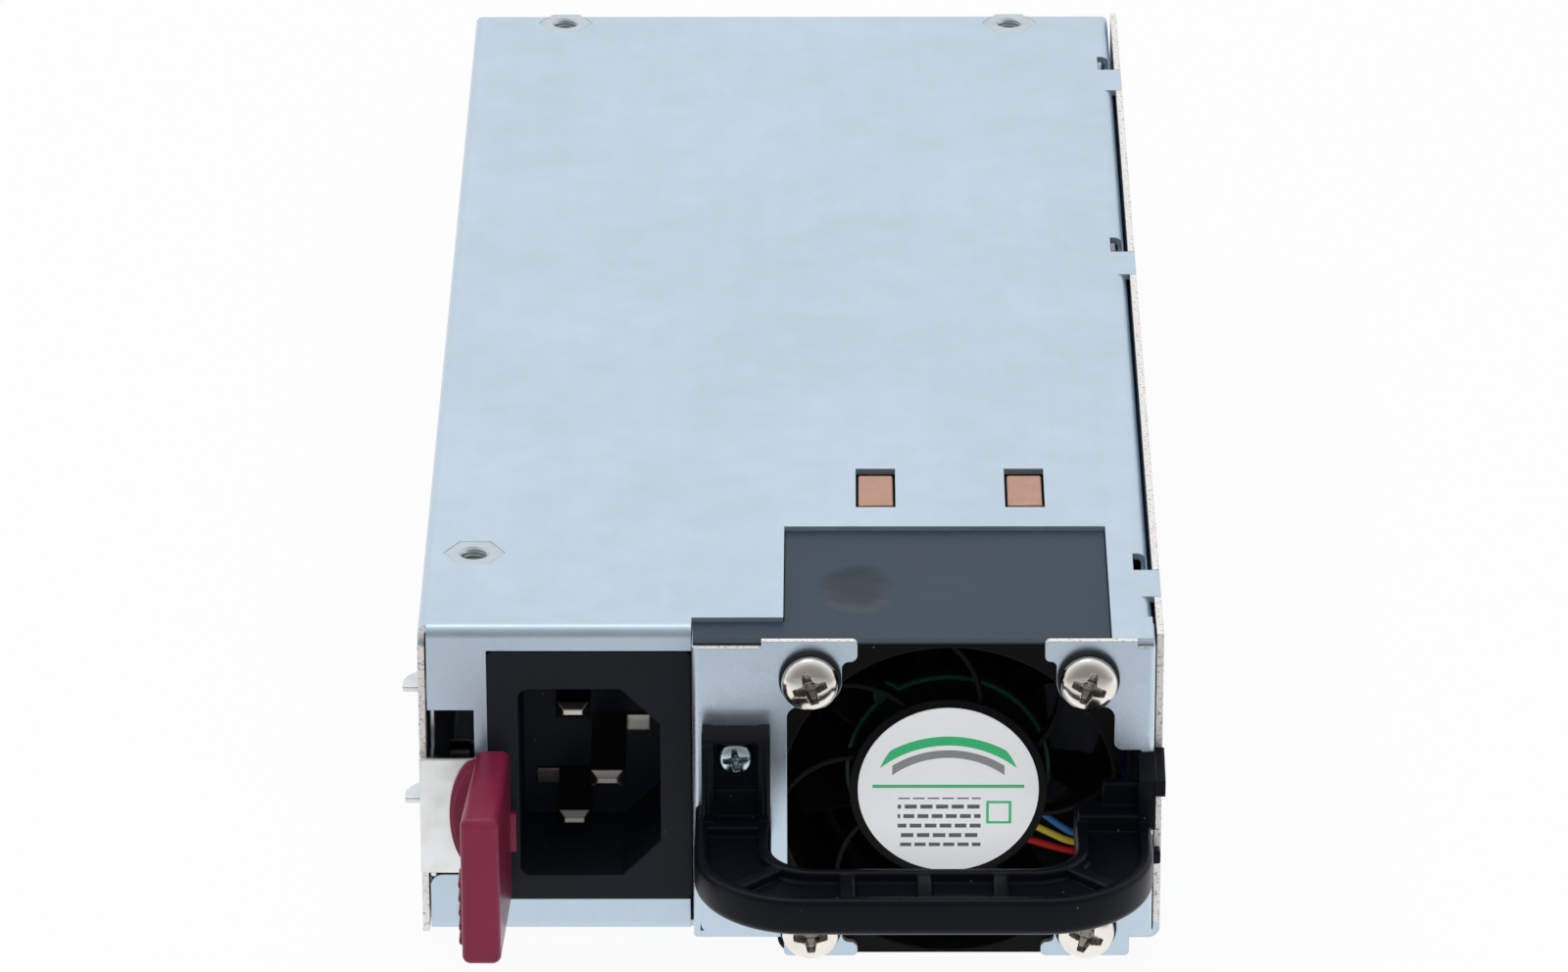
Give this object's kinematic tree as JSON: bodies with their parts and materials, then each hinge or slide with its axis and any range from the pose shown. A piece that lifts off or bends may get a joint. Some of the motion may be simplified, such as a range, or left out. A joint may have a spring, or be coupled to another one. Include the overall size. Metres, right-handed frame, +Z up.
{
  "type": "hot swap server power supply",
  "caption": "Slim sheet steel power supply module with a mains inlet, a cooling fan, a pull handle and a sprung side latch in front and a gold edge tongue at the rear.",
  "frame": {"origin": "centre of the case's underside", "axes": "+X to the right seen from the inlet side, +Y into the bay towards the edge tongue, +Z up"},
  "size_m": [0.0882, 0.2285, 0.0406],
  "materials": {
    "zinc_sheet": "satin",
    "inlet_plastic": "matte",
    "nickel": "polished",
    "tinned_wire": "satin",
    "handle_plastic": "satin",
    "zinc_screw": "satin",
    "fan_plastic": "matte",
    "label_paper": "satin",
    "green_board": "satin",
    "copper": "satin",
    "ferrite": "matte",
    "steel": "satin",
    "rubber_black": "matte",
    "slate_film": "satin",
    "white_plastic": "matte",
    "lead_red": "satin",
    "lead_yellow": "satin",
    "lead_blue": "satin",
    "spring_steel": "satin",
    "maroon_plastic": "satin",
    "gold": "polished",
    "clear_film": "satin",
    "grey_plastic": "matte",
    "blue_epoxy": "gloss",
    "ceramic": "matte",
    "black_plastic": "matte",
    "capacitor_sleeve": "satin",
    "aluminium": "satin",
    "yellow_tape": "satin"
  },
  "bodies": {
    "root": {"ac_inlet_body": "inlet_plastic", "board_insulator": "clear_film", "board_screws": "zinc_screw", "board_standoffs": "zinc_screw", "boost_choke_core": "ferrite", "boost_choke_winding": "copper", "bridge_rectifier": "black_plastic", "bulk_capacitor": "capacitor_sleeve", "chassis": "zinc_sheet", "control_board": "green_board", "copper_straps": "copper", "cover": "zinc_sheet", "cover_screws": "zinc_screw", "edge_contacts": "gold", "fan_bearings": "steel", "fan_bracket_left": "zinc_sheet", "fan_bracket_right": "zinc_sheet", "fan_film": "slate_film", "fan_frame": "fan_plastic", "fan_grommets": "rubber_black", "fan_header": "white_plastic", "fan_label": "label_paper", "fan_lead_blue": "lead_blue", "fan_lead_red": "lead_red", "fan_lead_yellow": "lead_yellow", "fan_plug": "white_plastic", "fan_screws": "nickel", "fan_stator": "copper", "fan_stator_board": "green_board", "filter_choke_core": "ferrite", "filter_choke_winding": "copper", "fuse_link": "ceramic", "handle": "handle_plastic", "handle_screw": "zinc_screw", "inlet_blades": "nickel", "inlet_leads": "tinned_wire", "latch_rivets": "spring_steel", "main_board": "green_board", "output_bus_bar": "copper", "output_capacitors": "aluminium", "output_choke": "ferrite", "output_choke_turns": "copper", "power_transistors": "black_plastic", "primary_heatsink": "aluminium", "rear_panel": "zinc_sheet", "relay": "black_plastic", "secondary_heatsink": "aluminium", "transformer_core": "ferrite", "transformer_winding": "yellow_tape", "x_capacitor": "grey_plastic", "y_capacitors": "blue_epoxy"},
    "rotor": {"fan_rotor": "fan_plastic", "fan_magnet": "ferrite", "fan_shaft": "steel"},
    "latch": {"latch_spring": "spring_steel", "latch_lever": "maroon_plastic"}
  },
  "joints": [
    {"name": "fan_spin", "type": "hinge", "parent": "root", "child": "rotor", "pos_m": [0.0183, -0.081, 0.0185], "axis": [0, 1, 0], "continuous": true},
    {"name": "latch_press", "type": "hinge", "parent": "root", "child": "latch", "pos_m": [-0.0416, -0.033, 0.0151], "axis": [0, 0, 1], "range_deg": [0, 2.2], "stiffness_Nm_per_rad": 8, "springref_deg": -1.15}
  ]
}
